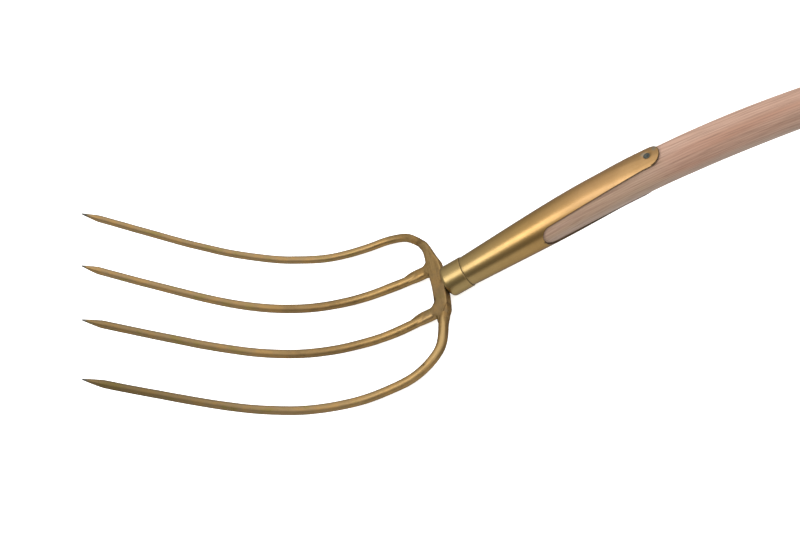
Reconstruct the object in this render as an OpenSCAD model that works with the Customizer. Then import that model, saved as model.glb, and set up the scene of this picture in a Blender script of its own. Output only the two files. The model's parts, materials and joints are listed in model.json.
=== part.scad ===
// Four-tine manure fork with a bent wooden handle, as it lies on a floor on its back.
// The forged crown carries four welded tines, and its tang runs up inside the handle.
// A cap closes the sheet steel socket, and two straps of the socket are nailed to the handle.
// Pieces are drawn in the tool's own frame and then laid down. There the socket rim is at the
// origin, +X runs up the handle and +Z is the hollow side of the tines. All sizes are in mm.

/* [Handle] */
// Diameter of the handle above the socket
handle_d = 36; // [32:0.5:40]
// Length of the handle along its centre line, from nose to butt
handle_length = 1350; // [1000:10:1500]
// Length of the tapered end above the socket rim, where the bend begins
taper_length = 110; // [95:1:140]
// Radius of the bend on the centre line
bend_radius = 985; // [800:5:1200]
// Angle of the whole bend
bend_angle = 16; // [12:0.5:20]
// Rounding of the edge of the butt
butt_round = 12; // [4:0.5:15]

/* [Socket] */
// Outside diameter at the lower rim
rim_d = 30.3; // [27:0.1:33]
// Thickness of the sheet
sheet = 1.6; // [1.2:0.1:2.4]
// Clearance between the sheet and the wood
wood_fit = 0.1; // [0.05:0.05:0.4]
// Length of the necked end inside the cap
neck_length = 10; // [6:0.5:14]
// Distance from the rim to the round end of the side windows
window_start = 85; // [60:1:100]
// Height of the side windows at their round end
window_height = 23; // [16:0.5:26]
// Width of the straps at their round ends
strap_w = 24; // [18:0.5:27]
// Length of even width on the front strap, before its nail
front_even = 8; // [4:1:60]
// Length of even width on the back strap, before its nail
back_even = 21; // [4:1:40]

/* [Nails] */
// Distance from the rim to the nail of the front strap
front_nail = 206; // [196:1:225]
// Distance from the rim to the nail of the back strap
back_nail = 186; // [170:1:192]
// Diameter of the shank
nail_d = 3.5; // [2.5:0.1:4.5]
// Diameter of the head
nail_head_d = 6.6; // [5.5:0.1:9]
// Height of the countersunk head
nail_head_h = 1.3; // [0.8:0.1:2]
// Length from the top of the head to the point
nail_length = 22; // [12:1:30]
// Length of the point
nail_point = 3.5; // [2:0.5:6]
// Diameter of the blunt end of the point
nail_tip_d = 0.7; // [0.4:0.1:1.2]
// Depth of the head below the face of the strap
nail_sink = 0.3; // [0.1:0.1:0.6]
// Clearance round the nail
nail_fit = 0.05; // [0.02:0.01:0.2]

/* [Cap] */
// Height of the step from the socket rim up to the cap
cap_step = 0.7; // [0.3:0.1:1]
// Length of the cap below the socket rim
cap_length = 23.5; // [18:0.5:28]
// Thickness of the cap's wall
cap_wall = 1.2; // [0.9:0.1:1.6]
// Thickness of the cap's closed end
cap_floor = 2.5; // [1.5:0.1:3]
// Rounding of the closed end
cap_round = 4; // [2:0.5:6]
// Clearance between the cap and the neck of the socket
cap_fit = 0.1; // [0.05:0.05:0.3]

/* [Crown] */
// Gap between the cap and the crown bar, beside the shoulder that seats on the cap
crown_gap = 0.5; // [0.3:0.1:6]
// Width of the crown bar
crown_w = 15; // [12:0.5:18]
// Thickness of the crown bar, its arms and its stubs
crown_t = 10.5; // [9.5:0.5:13]
// Length of the slightly bowed middle of the crown bar
bow_length = 109; // [96:1:120]
// Radius of that bow on the centre line
bow_radius = 264; // [200:1:400]
// Radius of the shoulders on the centre line
shoulder_r = 55.5; // [45:0.5:65]
// Length of the left arm, from the web of the inner tine to the joint of the outer one
left_arm = 9; // [8:0.5:20]
// Length of the right arm, from the web of the inner tine to the joint of the outer one
right_arm = 33.5; // [15:0.5:40]
// Width of the left arm at its joint
left_arm_w = 13.4; // [11:0.1:15]
// Width of the right arm at its joint
right_arm_w = 9.4; // [9:0.1:13]
// Slant of those joints across the bar
arm_slant = 37; // [0:1:45]
// Distance from the crown's centre line to the joint of an inner tine
stub_reach = 26; // [22:1:36]
// Width of the stubs at those joints
stub_w = 12.2; // [10.5:0.1:14]
// Slant of those joints through the thickness of the stubs
stub_slant = 62; // [30:1:65]
// Width of the web on each side of a stub
web = 4; // [2:0.5:7]
// Width of the shoulder that seats on the cap, round the tang
boss_lip = 1.2; // [0.8:0.1:3]

/* [Tang] */
// Diameter of the tang at the cap
tang_d = 12; // [9:0.5:14]
// Diameter of the tang at its end
tang_tip_d = 6; // [4:0.5:8]
// Length of the tapered tang above the socket rim
tang_length = 75; // [50:1:100]
// Clearance between the tang and its bore
tang_fit = 0.15; // [0.05:0.05:0.4]

/* [Tines] */
// Middle distance from the crown's centre line to the tips, along the curve of the tines
tine_reach = 368; // [320:1:400]
// Further reach of each tine than of the one to its left
tip_skew = 1.6; // [0:0.1:4]
// Distance between the inner tines at the crown
inner_spacing = 56.8; // [48:0.1:66]
// Outward lean of the inner tines
inner_splay = 1; // [0:0.1:2]
// Outward lean of the outer tines
outer_splay = 2.3; // [1:0.1:4]
// Diameter of the three left tines at their joints
tine_root_d = 10.4; // [9.5:0.1:11.5]
// Diameter of the right outer tine at its joint
right_root_d = 9; // [8.7:0.1:10.5]
// Length of the swelling from the joints into the bars
swell_length = 40; // [20:1:60]
// Diameter of the bars at the joints, without that swelling
tine_bar_d = 8.6; // [7.5:0.1:9]
// Diameter of the bars behind their points
tine_tip_d = 6.6; // [5.5:0.1:8]
// Length of the points
point_length = 16; // [10:1:24]
// Diameter of the blunt end of the points
point_d = 1.2; // [0.6:0.1:2]
// Angle through which the tines curve
dish_angle = 63; // [50:1:75]
// Length over which the tines curve
dish_length = 303; // [280:1:330]
// Distance behind the crown's centre line at which that curve begins
dish_lead = 33.5; // [25:0.5:50]
// Dip of the tines at the start of the curve
dish_dip = 3; // [1:0.5:6]

/* [Hidden] */
$fn = 64;

bronze = "#b08a52";
dull_bronze = "#8f7047";
ash = "#cfa88c";
dark_steel = "#5c645e";

// Room that a cut runs past the face that it opens
over = 1;

// Handle and socket radii. The taper ends at the full radius, where the bend begins.
// The bend is slightly fuller than the straight grip, and the grip starts inside it.
handle_r = handle_d / 2;
bend_swell = 0.2;
grip_root = 2;
bend_r = handle_r + bend_swell;
rim_r = rim_d / 2;
socket_r = bend_r + wood_fit + sheet;
taper_slope = (socket_r - rim_r) / taper_length;
cap_r = rim_r + cap_step;
cap_bore_r = cap_r - cap_wall;
neck_r = cap_bore_r - cap_fit;
nose_depth = cap_length - cap_floor - wood_fit;
strap_end = front_nail + strap_w / 2;

function degrees(arc, radius) = arc / radius * 180 / PI;
function clamp(t) = min(1, max(0, t));
function bore_r(x) = rim_r - sheet + taper_slope * x;
function wood_r(x) = bore_r(x) - wood_fit;

// Centre line of the handle, at a distance d from the socket rim, and its dip there
bend_arc = bend_radius * bend_angle * PI / 180;
bend_end = taper_length + bend_arc;
butt_at = handle_length - nose_depth;
function axis_dip(d) = min(bend_angle, max(0, degrees(d - taper_length, bend_radius)));
function axis_at(d) =
    let (
        lead = min(d, taper_length),
        dip = axis_dip(d),
        rest = max(0, d - bend_end)
    )
    [
        lead + bend_radius * sin(dip) + rest * cos(dip),
        0,
        bend_radius * (cos(dip) - 1) - rest * sin(dip)
    ];
function axis_normal(d) = [sin(axis_dip(d)), 0, cos(axis_dip(d))];

// Reach of each tine, counted from the left. The right outer one reaches farthest.
tine_count = 4;
function reach_of(i) = tine_reach + tip_skew * (i - (tine_count - 1) / 2);
far_reach = reach_of(tine_count - 1);

// Curved surface that the tines lie on, stepped off from the crown to the tips
crown_back = cap_length + crown_gap + crown_w / 2;
surface_step = 2;
surface_count = ceil(far_reach / surface_step) + 1;
function dish_slope(s) =
    let (t = clamp((s + dish_lead) / dish_length))
    dish_angle * t * t * (3 - 2 * t) - dish_dip;
function surface_move(i) =
    let (slope = dish_slope((i + 1 / 2) * surface_step))
    surface_step * [-cos(slope), sin(slope)];
surface = [
    for (i = 0, p = [-crown_back, 0]; i <= surface_count; p = p + surface_move(i), i = i + 1)
        [i * surface_step, p.x, p.y]
];
surface_x = [for (p = surface) [p[0], p[1]]];
surface_z = [for (p = surface) [p[0], p[2]]];
function on_surface(s, y) = [lookup(s, surface_x), y, lookup(s, surface_z)];

// Paths on that surface: [forward distance, sideways distance, heading from forward].
// The outer path starts in the middle of the crown and runs along its bar.
bow_half = bow_length / 2;
bow_turn = degrees(bow_half, bow_radius);
shoulder_turn = 90 - bow_turn - outer_splay;
shoulder_end = bow_half + shoulder_r * shoulder_turn * PI / 180;
function inner_path(p) =
    [p * cos(inner_splay), inner_spacing / 2 + p * sin(inner_splay), inner_splay];
function outer_path(p) =
    let (
        b = degrees(min(p, bow_half), bow_radius),
        a = min(shoulder_turn, max(0, degrees(p - bow_half, shoulder_r))),
        rest = max(0, p - shoulder_end),
        bow = bow_radius * [1 - cos(b), sin(b)],
        shoulder = shoulder_r
            * [cos(bow_turn) - cos(bow_turn + a), sin(bow_turn + a) - sin(bow_turn)],
        place = bow + shoulder + rest * [cos(outer_splay), sin(outer_splay)]
    )
    [place.x, place.y, 90 - b - a];
function bar_path(p) =
    let (q = outer_path(abs(p)))
    p < 0 ? [q[0], -q[1], 180 - q[2]] : q;
function tine_path(outer, p) = outer ? outer_path(p) : inner_path(p);
function path_length(outer, reach) =
    outer ? shoulder_end + (reach - outer_path(shoulder_end)[0]) / cos(outer_splay)
    : reach / cos(inner_splay);

// One ring of a swept bar. Power 2 is an ellipse and more is squarer. Slant leans the ring
// along the bar, from one side to the other and from the back to the hollow side.
ring_sides = 16;
function squared(c, power) = sign(c) * pow(abs(c), 2 / power);
function ring(path, half_w, half_t, power = 2, slant = [0, 0]) =
    let (
        slope = dish_slope(path[0]),
        ahead = [-cos(slope), 0, sin(slope)],
        out = [sin(slope), 0, cos(slope)],
        along = cos(path[2]) * ahead + sin(path[2]) * [0, 1, 0],
        aside = cos(path[2]) * [0, 1, 0] - sin(path[2]) * ahead,
        centre = on_surface(path[0], path[1])
    )
    [
        for (i = [0 : ring_sides - 1])
            let (
                a = 360 * i / ring_sides,
                u = squared(cos(a), power) * half_w,
                v = squared(sin(a), power) * half_t
            )
            centre + u * aside + v * out + slant * [u, v] * along
    ];

module sweep(rings) {
    n = ring_sides;
    last = len(rings) - 1;
    points = [for (r = rings) each r];
    sides = [
        for (k = [0 : last - 1], i = [0 : n - 1])
            let (
                a = k * n + i,
                b = k * n + (i + 1) % n
            )
            each [[a, b, a + n], [b, b + n, a + n]]
    ];
    ends = [[for (i = [n - 1 : -1 : 0]) i], [for (i = [0 : n - 1]) last * n + i]];
    polyhedron(points = points, faces = concat(sides, ends));
}

// Joints along the paths. The arm joints slant across the bar, and the crown is longer on the
// handle's side. The stub joints slant the other way, and the tine laps over the hollow side.
arm_root = inner_spacing / 2 + web;
left_joint = arm_root + left_arm;
right_joint = arm_root + right_arm;
arm_lap = tan(arm_slant);
stub_lap = tan(stub_slant);
function slant_of(outer) = outer ? [arm_lap, 0] : [0, -stub_lap];

// Tines from left to right: [is an outer one, place of its joint, diameter there, length]
tines = [
    [true, left_joint, tine_root_d, path_length(true, reach_of(0))],
    [false, stub_reach, tine_root_d, path_length(false, reach_of(1))],
    [false, stub_reach, tine_root_d, path_length(false, reach_of(2))],
    [true, right_joint, right_root_d, path_length(true, reach_of(3))]
];
point_r = point_d / 2;
point_rings = 3;
ring_step = 11;
ogive = 1.15;
swell_curve = 1.5;
function tine_r(t, p) =
    let (
        joint = t[1],
        full = t[3],
        share = clamp((p - joint) / (full - point_length - joint)),
        bar = tine_bar_d + (tine_tip_d - tine_bar_d) * share,
        swell = (t[2] - tine_bar_d) * pow(clamp(1 - (p - joint) / swell_length), swell_curve),
        tip = clamp((full - p) / point_length)
    )
    point_r + ((bar + swell) / 2 - point_r) * min(1, ogive * tip - (ogive - 1) * tip * tip);
function tine_stations(t) =
    let (
        from = t[1] + (t[0] ? arm_lap : stub_lap) * t[2] / 2 + over,
        neck = t[3] - point_length,
        count = ceil((neck - from) / ring_step)
    )
    concat(
        [for (i = [0 : count]) from + (neck - from) * i / count],
        [for (i = [1 : point_rings]) neck + point_length * i / point_rings]
    );

// Lean of the tool on the floor, where the bellies of the tines and the edge of the butt touch
butt_axis = [cos(bend_angle), 0, -sin(bend_angle)];
butt_core = axis_at(butt_at) - butt_round * butt_axis;
butt_side = (handle_r - butt_round) * axis_normal(butt_at);
settle_tries = 12;
function height(point, lean) = point.x * sin(lean) + point.z * cos(lean);
function reach(point, lean) = point.x * cos(lean) - point.z * sin(lean);
function belly_low(lean) = min([
    for (t = tines, p = tine_stations(t))
        let (path = tine_path(t[0], p))
        height(on_surface(path[0], path[1]), lean) - tine_r(t, p) * cos(dish_slope(path[0]) - lean)
]);
function butt_low(lean) = height(butt_core - butt_side, lean) - butt_round;
function settle(lean, tries) =
    tries == 0 ? lean
    : settle(lean + atan2(belly_low(lean) - butt_low(lean), handle_length), tries - 1);
lean = settle(bend_angle, settle_tries);
floor_level = butt_low(lean);
tip_x = reach(on_surface(far_reach, 0), lean) - point_r * sin(dish_slope(far_reach) - lean);
butt_x = reach(butt_core + butt_side, lean) + butt_round;

module laid() {
    translate([-(tip_x + butt_x) / 2, 0, -floor_level])
        rotate([0, -lean, 0])
            children();
}

module along_x() {
    rotate([0, 90, 0])
        children();
}

module on_axis(d) {
    translate(axis_at(d))
        rotate([0, axis_dip(d), 0])
            children();
}

// Round bar that follows the bend of the handle
module bent_bar(radius, angle) {
    translate([taper_length, 0, -bend_radius])
        rotate([-90, -90, 0])
            rotate_extrude(angle = angle, $fn = 360)
                translate([bend_radius, 0])
                    circle(radius);
}

// Cylinder with one rounded edge, at its far end
module rounded_end(radius, length, round) {
    rotate_extrude() {
        square([radius - round, length]);
        square([radius, length - round]);
        intersection() {
            translate([radius - round, length - round])
                circle(round);
            square([radius, length]);
        }
    }
}

// Tang, or its bore when gap is the clearance round it
module tang_shape(gap) {
    translate([-cap_length, 0, 0])
        along_x()
            cylinder(h = cap_length, r = tang_d / 2 + gap);
    along_x()
        cylinder(h = tang_length + gap, r1 = tang_d / 2 + gap, r2 = tang_tip_d / 2 + gap);
}

// Nail in the front of the handle, or its hole when gap is the clearance round it
module nail_shape(gap) {
    head_top = socket_r - nail_sink;
    translate([0, 0, head_top - nail_head_h])
        cylinder(h = nail_head_h, r1 = nail_d / 2 + gap, r2 = nail_head_d / 2 + gap);
    translate([0, 0, head_top - nail_length + nail_point])
        cylinder(h = nail_length - nail_point - nail_head_h, r = nail_d / 2 + gap);
    translate([0, 0, head_top - nail_length])
        cylinder(h = nail_point, r1 = nail_tip_d / 2 + gap, r2 = nail_d / 2 + gap);
}

module front_nail_place() {
    on_axis(front_nail)
        children();
}

module back_nail_place() {
    on_axis(back_nail)
        mirror([0, 0, 1])
            children();
}

// Hole for a nail through a strap, with the dimple over its head
module nail_hole() {
    nail_shape(nail_fit);
    translate([0, 0, socket_r - nail_sink])
        cylinder(h = nail_sink + over, r = nail_head_d / 2 + nail_fit);
}

// Side windows: a round end, then edges that flare until the straps have their final width.
// The side is 1 for the edge of the front strap and -1 for that of the back strap.
window_r = window_height / 2;
window_round = window_start + window_r;
strap_level = sqrt(pow(socket_r, 2) - pow(strap_w / 2, 2));
window_points = 12;
function flare_end(side) = side > 0 ? front_nail - front_even : back_nail - back_even;
function window_half(d, side) =
    let (share = clamp((d - window_round) / (flare_end(side) - window_round)))
    window_r + (strap_level - window_r) * share;
function window_edge(side) = concat(
    [
        for (i = [0 : window_points - 1])
            let (
                a = 90 * i / window_points,
                high = window_r * sin(a)
            )
            axis_at(window_round - window_r * cos(a)) + side * high * axis_normal(window_round)
    ],
    [
        for (d = [window_round, flare_end(side), strap_end + over])
            axis_at(d) + side * window_half(d, side) * axis_normal(d)
    ]
);
function reversed(list) = [for (i = [len(list) - 1 : -1 : 1]) list[i]];

module side_windows() {
    edge = concat(window_edge(1), reversed(window_edge(-1)));
    rotate([90, 0, 0])
        linear_extrude(height = 2 * (socket_r + over), center = true)
            polygon([for (p = edge) [p.x, p.z]]);
}

// Everything past a strap's nail, apart from the strap's round end
module past_strap() {
    length = strap_end + strap_w - back_nail;
    span = 2 * (socket_r + over);
    depth = 2 * socket_r;
    difference() {
        translate([0, -span / 2, 0])
            cube([length, span, depth]);
        cylinder(h = depth + over, r = strap_w / 2);
    }
}

// Crown bar from the left joint to the right one, where it narrows to the arms' widths
crown_square = 3;
arm_square = 2.2;
arm_curve = 2.5;
bar_rings = 2;
arm_rings = 4;
function bar_joint(p) = p < 0 ? left_joint : right_joint;
function bar_end_w(p) = p < 0 ? left_arm_w : right_arm_w;
function bar_inside(p) = bar_joint(p) - arm_lap * bar_end_w(p) / 2 - over;
function bar_share(p) =
    pow(clamp((bar_joint(p) - abs(p)) / (bar_joint(p) - arm_root)), arm_curve);
function bar_half(p) = (bar_end_w(p) + (crown_w - bar_end_w(p)) * bar_share(p)) / 2;
function bar_square(p) = arm_square + (crown_square - arm_square) * bar_share(p);

module crown_bar() {
    stations = concat(
        [-bar_inside(-1)],
        [for (i = [-bar_rings : bar_rings]) arm_root * i / bar_rings],
        [for (i = [1 : arm_rings]) arm_root + (bar_inside(1) - arm_root) * i / arm_rings]
    );
    sweep(concat(
        [ring(bar_path(-left_joint), left_arm_w / 2, crown_t / 2, arm_square, [-arm_lap, 0])],
        [for (p = stations) ring(bar_path(p), bar_half(p), crown_t / 2, bar_square(p))],
        [ring(bar_path(right_joint), right_arm_w / 2, crown_t / 2, arm_square, [arm_lap, 0])]
    ));
}

// Stub of the crown for an inner tine, with a web that curves into the bar on each side
stub_square = 2.4;
web_curve = 2.5;
web_rings = 4;

module crown_stub() {
    edge = crown_w / 2;
    inside = stub_reach - stub_lap * crown_t / 2 - over;
    function half_w(p) = stub_w / 2 + web * pow(clamp((inside - p) / (inside - edge)), web_curve);
    stations = concat([0], [for (i = [0 : web_rings]) edge + (inside - edge) * i / web_rings]);
    sweep(concat(
        [for (p = stations) ring(inner_path(p), half_w(p), crown_t / 2, stub_square)],
        [ring(inner_path(stub_reach), stub_w / 2, crown_t / 2, stub_square, slant_of(false))]
    ));
}

// Shoulder from the bar to the cap
module crown_boss() {
    translate([-crown_back, 0, 0])
        along_x()
            cylinder(h = crown_back - cap_length, r1 = crown_t / 2 - over, r2 = tang_d / 2 + boss_lip);
}

module crown() {
    color(dull_bronze)
        laid()
            union() {
                crown_bar();
                crown_stub();
                mirror([0, 1, 0])
                    crown_stub();
                crown_boss();
                tang_shape(0);
            }
}

module tine_bar(t) {
    root_r = t[2] / 2;
    color(dull_bronze)
        sweep(concat(
            [ring(tine_path(t[0], t[1]), root_r, root_r, slant = slant_of(t[0]))],
            [for (p = tine_stations(t)) ring(tine_path(t[0], p), tine_r(t, p), tine_r(t, p))]
        ));
}

module tine_outer_left() {
    laid()
        mirror([0, 1, 0])
            tine_bar(tines[0]);
}

module tine_inner_left() {
    laid()
        mirror([0, 1, 0])
            tine_bar(tines[1]);
}

module tine_inner_right() {
    laid()
        tine_bar(tines[2]);
}

module tine_outer_right() {
    laid()
        tine_bar(tines[3]);
}

module ferrule_cap() {
    bore_length = cap_length - cap_floor;
    color(bronze)
        laid()
            difference() {
                mirror([1, 0, 0])
                    along_x()
                        rounded_end(cap_r, cap_length, cap_round);
                translate([-bore_length, 0, 0])
                    along_x()
                        cylinder(h = bore_length + over, r = cap_bore_r);
                translate([-over, 0, 0])
                    tang_shape(tang_fit);
            }
}

module socket() {
    sweep_angle = degrees(strap_end - taper_length, bend_radius);
    spare_angle = degrees(over, bend_radius);
    color(bronze)
        laid()
            difference() {
                union() {
                    translate([-neck_length, 0, 0])
                        along_x()
                            cylinder(h = neck_length, r = neck_r);
                    along_x()
                        cylinder(h = taper_length, r1 = rim_r, r2 = socket_r);
                    bent_bar(socket_r, sweep_angle);
                }
                translate([-neck_length - over, 0, 0])
                    along_x()
                        cylinder(
                            h = taper_length + neck_length + over,
                            r1 = bore_r(-neck_length - over),
                            r2 = bore_r(taper_length)
                        );
                bent_bar(bore_r(taper_length), sweep_angle + spare_angle);
                side_windows();
                front_nail_place()
                    past_strap();
                back_nail_place()
                    past_strap();
                front_nail_place()
                    nail_hole();
                back_nail_place()
                    nail_hole();
            }
}

module handle() {
    color(ash)
        laid()
            difference() {
                union() {
                    mirror([1, 0, 0])
                        along_x()
                            cylinder(h = nose_depth, r1 = wood_r(0), r2 = wood_r(-nose_depth));
                    along_x()
                        cylinder(h = taper_length, r1 = wood_r(0), r2 = bend_r);
                    bent_bar(bend_r, bend_angle);
                    on_axis(bend_end)
                        translate([-grip_root, 0, 0])
                            along_x()
                                rounded_end(handle_r, butt_at - bend_end + grip_root, butt_round);
                }
                tang_shape(tang_fit);
                front_nail_place()
                    nail_shape(nail_fit);
                back_nail_place()
                    nail_shape(nail_fit);
            }
}

module front_strap_nail() {
    color(dark_steel)
        laid()
            front_nail_place()
                nail_shape(0);
}

module back_strap_nail() {
    color(dark_steel)
        laid()
            back_nail_place()
                nail_shape(0);
}

crown();
tine_outer_left();
tine_inner_left();
tine_inner_right();
tine_outer_right();
ferrule_cap();
socket();
handle();
front_strap_nail();
back_strap_nail();
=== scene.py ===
import json
import math

import bmesh
import bpy
import numpy as np
from mathutils import Matrix, Vector, noise


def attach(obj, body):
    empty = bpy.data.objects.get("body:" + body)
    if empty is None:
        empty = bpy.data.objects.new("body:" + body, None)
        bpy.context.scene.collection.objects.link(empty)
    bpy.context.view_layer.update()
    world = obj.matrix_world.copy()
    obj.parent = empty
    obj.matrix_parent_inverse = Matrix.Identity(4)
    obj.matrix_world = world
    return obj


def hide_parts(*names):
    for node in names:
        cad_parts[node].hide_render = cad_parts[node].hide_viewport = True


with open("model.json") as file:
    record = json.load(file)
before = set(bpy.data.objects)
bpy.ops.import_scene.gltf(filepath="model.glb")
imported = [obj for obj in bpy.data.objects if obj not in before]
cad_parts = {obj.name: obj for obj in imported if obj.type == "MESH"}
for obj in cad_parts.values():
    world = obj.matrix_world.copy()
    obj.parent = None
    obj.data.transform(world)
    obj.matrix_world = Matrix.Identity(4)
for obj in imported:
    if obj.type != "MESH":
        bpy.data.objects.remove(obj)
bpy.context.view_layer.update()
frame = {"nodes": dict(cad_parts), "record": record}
scene = bpy.context.scene
print("frame loaded with", len(frame["nodes"]), "nodes")

# All lengths below are in mm, in the fork's own frame: the socket rim is the origin,
# +X runs up the handle and +Z is the hollow side of the tines.

handle = {
    "diameter": 36.0,
    "length": 1350.0,
    "taperLength": 110.0,  # from the socket rim to the start of the bend
    "taperEase": 45.0,  # the taper eases into the bend over this much on each side
    "bendRadius": 985.0,
    "bendAngle": 16.0,
    "bendSwell": 0.2,  # the bend is this much fuller than the grip
    "swellFade": 60.0,  # and loses it over this length
    "bareSwell": 0.35,  # the wood is fuller again above the straps
    "bareStart": (-8.0, 30.0),  # from the end of the front strap
    "bareEnd": (290.0, 350.0),
    "buttRound": 12.0,
    "buttTrim": 0.1,
    "buttRings": (0.6, 0.25),
    "nose": 20.9,  # depth of the wood below the socket rim
    "shaving": 0.12,  # unevenness of the shaved surface
    "shavingSize": 9.0,
    "shavingStretch": (0.12, 1, 1),
    "shavingSeed": 5.0,
    "sides": 80,
    "ringStep": 7.0,
}

taperLength, bendRadius = handle["taperLength"], handle["bendRadius"]
bendAngle = math.radians(handle["bendAngle"])
bendEnd = taperLength + bendRadius * bendAngle
buttAt = handle["length"] - handle["nose"] - handle["buttTrim"]

def aroundAxis(d, side, up):
    # a point beside the handle's centre line, d along it from the rim
    d, side, up = np.broadcast_arrays(np.asarray(d, float), side, up)
    turn = np.clip((d - taperLength) / bendRadius, 0, bendAngle)
    past = np.maximum(0, d - bendEnd)
    x = np.minimum(d, taperLength) + bendRadius * np.sin(turn) + past * np.cos(turn)
    z = bendRadius * (np.cos(turn) - 1) - past * np.sin(turn)
    return np.stack([x + up * np.sin(turn), side, z + up * np.cos(turn)], axis=-1)

def alongAxis(points):
    # the way back: along, across and up from the centre line
    centre = np.array([taperLength, 0, -bendRadius])
    toward = points - centre
    turn = np.clip(np.arctan2(toward[:, 0], toward[:, 2]), 0, bendAngle)
    along = np.stack([np.cos(turn), np.zeros(len(turn)), -np.sin(turn)], axis=-1)
    outward = np.stack([np.sin(turn), np.zeros(len(turn)), np.cos(turn)], axis=-1)
    beside = toward - bendRadius * outward
    d = taperLength + bendRadius * turn + np.sum(beside * along, axis=1)
    return np.stack([d, points[:, 1], np.sum(beside * outward, axis=1)], axis=-1)

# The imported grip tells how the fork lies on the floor
grip = next(m for m in frame["record"]["mounts"] if m["name"] == "handle_grip")
lean = bendAngle + math.atan2(grip["axis"][2], grip["axis"][0])
leanCos, leanSin = math.cos(lean), math.sin(lean)
leanTurn = np.array([[leanCos, 0, -leanSin], [0, 1, 0], [leanSin, 0, leanCos]])
gripMiddle = aroundAxis(bendEnd + grip["dims"]["length_mm"] / 2, 0, 0)
rimAtRest = np.array(grip["pos_m"]) * 1000 - leanTurn @ gripMiddle

def atRest(points):
    return (np.asarray(points, float) @ leanTurn.T + rimAtRest) / 1000

def asDrawn(points):
    return (np.asarray(points, float) * 1000 - rimAtRest) @ leanTurn

# Helpers for numbers along a piece

def smoothStep(x, low, high):
    t = np.clip((np.asarray(x, float) - low) / (high - low), 0, 1)
    return t * t * (3 - 2 * t)

def between(x, rise, full, fade, end):
    # 1 inside a stretch, with soft ends
    return smoothStep(x, rise, full) * (1 - smoothStep(x, fade, end))

def hump(x, place, width):
    return np.exp(-((x - place) / width) ** 2)

def waver(points, size, seed):
    # gentle unevenness between -1 and 1, the same on every run
    shift = Vector((seed * 7.3, seed * 3.1, 0))
    return np.array([noise.noise(Vector(p) / size + shift) for p in np.asarray(points, float)])

def hammered(points, sizes, seed):
    # depth of the hammer marks, mostly between 0 and 1
    broad, fine = [waver(points, size, seed) for size in sizes]
    return 0.5 + 0.35 * broad + 0.15 * fine

def quarterTurn(count):
    return np.radians(np.linspace(0, 90, count))

def fullTurns(sides, rings):
    return np.tile(np.linspace(0, 2 * math.pi, sides, endpoint=False), rings)

def spread(sides, *rows):
    # the value of each ring, for every point of the ring
    return [np.repeat(values, sides) for values in rows]

# Mesh helpers

def gridFaces(rows, cols, closed=True, start=0):
    faces = []
    for row in range(start, start + (rows - 1) * cols, cols):
        for j in range(cols if closed else cols - 1):
            k = (j + 1) % cols
            faces.append((row + j, row + k, row + cols + k, row + cols + j))
    return faces

def tubeFaces(rows, cols, start=0):
    # a closed tube with flat ends
    ends = [tuple(range(first, first + cols)) for first in (start, start + (rows - 1) * cols)]
    return gridFaces(rows, cols, True, start) + ends

def turned(profile, sides):
    # points of a shape turned about the handle's centre line, from (along, radius) pairs
    d, radius = spread(sides, *zip(*profile))
    turn = fullTurns(sides, len(profile))
    return aroundAxis(d, radius * np.cos(turn), radius * np.sin(turn))

def newMesh(name, points, faces):
    mesh = bpy.data.meshes.new(name)
    mesh.from_pydata(atRest(points).tolist(), [], faces)
    shaped = bmesh.new()
    shaped.from_mesh(mesh)
    bmesh.ops.recalc_face_normals(shaped, faces=shaped.faces)
    shaped.to_mesh(mesh)
    shaped.free()
    return mesh

def setLayers(mesh, **layers):
    # named values on the points, which the materials read
    for name, values in layers.items():
        values = np.asarray(values, np.float32)
        kind, field = ("FLOAT_VECTOR", "vector") if values.ndim == 2 else ("FLOAT", "value")
        made = mesh.attributes.new(name, kind, "POINT")
        made.data.foreach_set(field, values.ravel())

def meshPoints(mesh):
    co = np.zeros(len(mesh.vertices) * 3, np.float32)
    mesh.vertices.foreach_get("co", co)
    return asDrawn(co.reshape(-1, 3))

def withLay(mesh):
    # where each point sits on the bent handle
    setLayers(mesh, lay=alongAxis(meshPoints(mesh)))
    return mesh

def addPiece(name, mesh, material, node, edgeAngle):
    piece = bpy.data.objects.new(name, mesh)
    scene.collection.objects.link(piece)
    mesh.materials.append(material)
    mesh.shade_smooth()
    mesh.set_sharp_from_angle(angle=math.radians(edgeAngle))
    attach(piece, "root")
    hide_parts(node)
    print(name, "stands for", node, "with", len(mesh.polygons), "faces")
    return piece

# Shader helpers

def feed(tree, node, sockets):
    # links what comes from a node, and sets what is a plain value
    for key, value in sockets.items():
        if isinstance(value, bpy.types.NodeSocket):
            tree.links.new(value, node.inputs[key])
        else:
            node.inputs[key].default_value = value

def addNode(tree, kind, sockets=None, **options):
    made = tree.nodes.new(kind)
    for key, value in options.items():
        setattr(made, key, value)
    feed(tree, made, sockets or {})
    return made

def mixColours(tree, factor, first, second, kind="MIX"):
    sockets = {0: factor, 6: first, 7: second}
    options = {"data_type": "RGBA", "blend_type": kind, "clamp_factor": True}
    return addNode(tree, "ShaderNodeMix", sockets, **options).outputs[2]

def layered(tree, colour, look, **masks):
    # the look's colours, each laid over the ones before it through its own mask
    for name, mask in masks.items():
        colour = mixColours(tree, mask, colour, look[name])
    return colour

def remap(tree, value, fromLow, fromHigh, toLow=0.0, toHigh=1.0, smooth=False):
    sockets = {0: value, 1: fromLow, 2: fromHigh, 3: toLow, 4: toHigh}
    kind = "SMOOTHSTEP" if smooth else "LINEAR"
    return addNode(tree, "ShaderNodeMapRange", sockets, interpolation_type=kind).outputs[0]

def maths(tree, operation, first, second):
    return addNode(tree, "ShaderNodeMath", {0: first, 1: second}, operation=operation).outputs[0]

def vectorMaths(tree, operation, first, second=(0, 0, 0), output="Vector"):
    return addNode(tree, "ShaderNodeVectorMath", {0: first, 1: second}, operation=operation).outputs[output]

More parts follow.
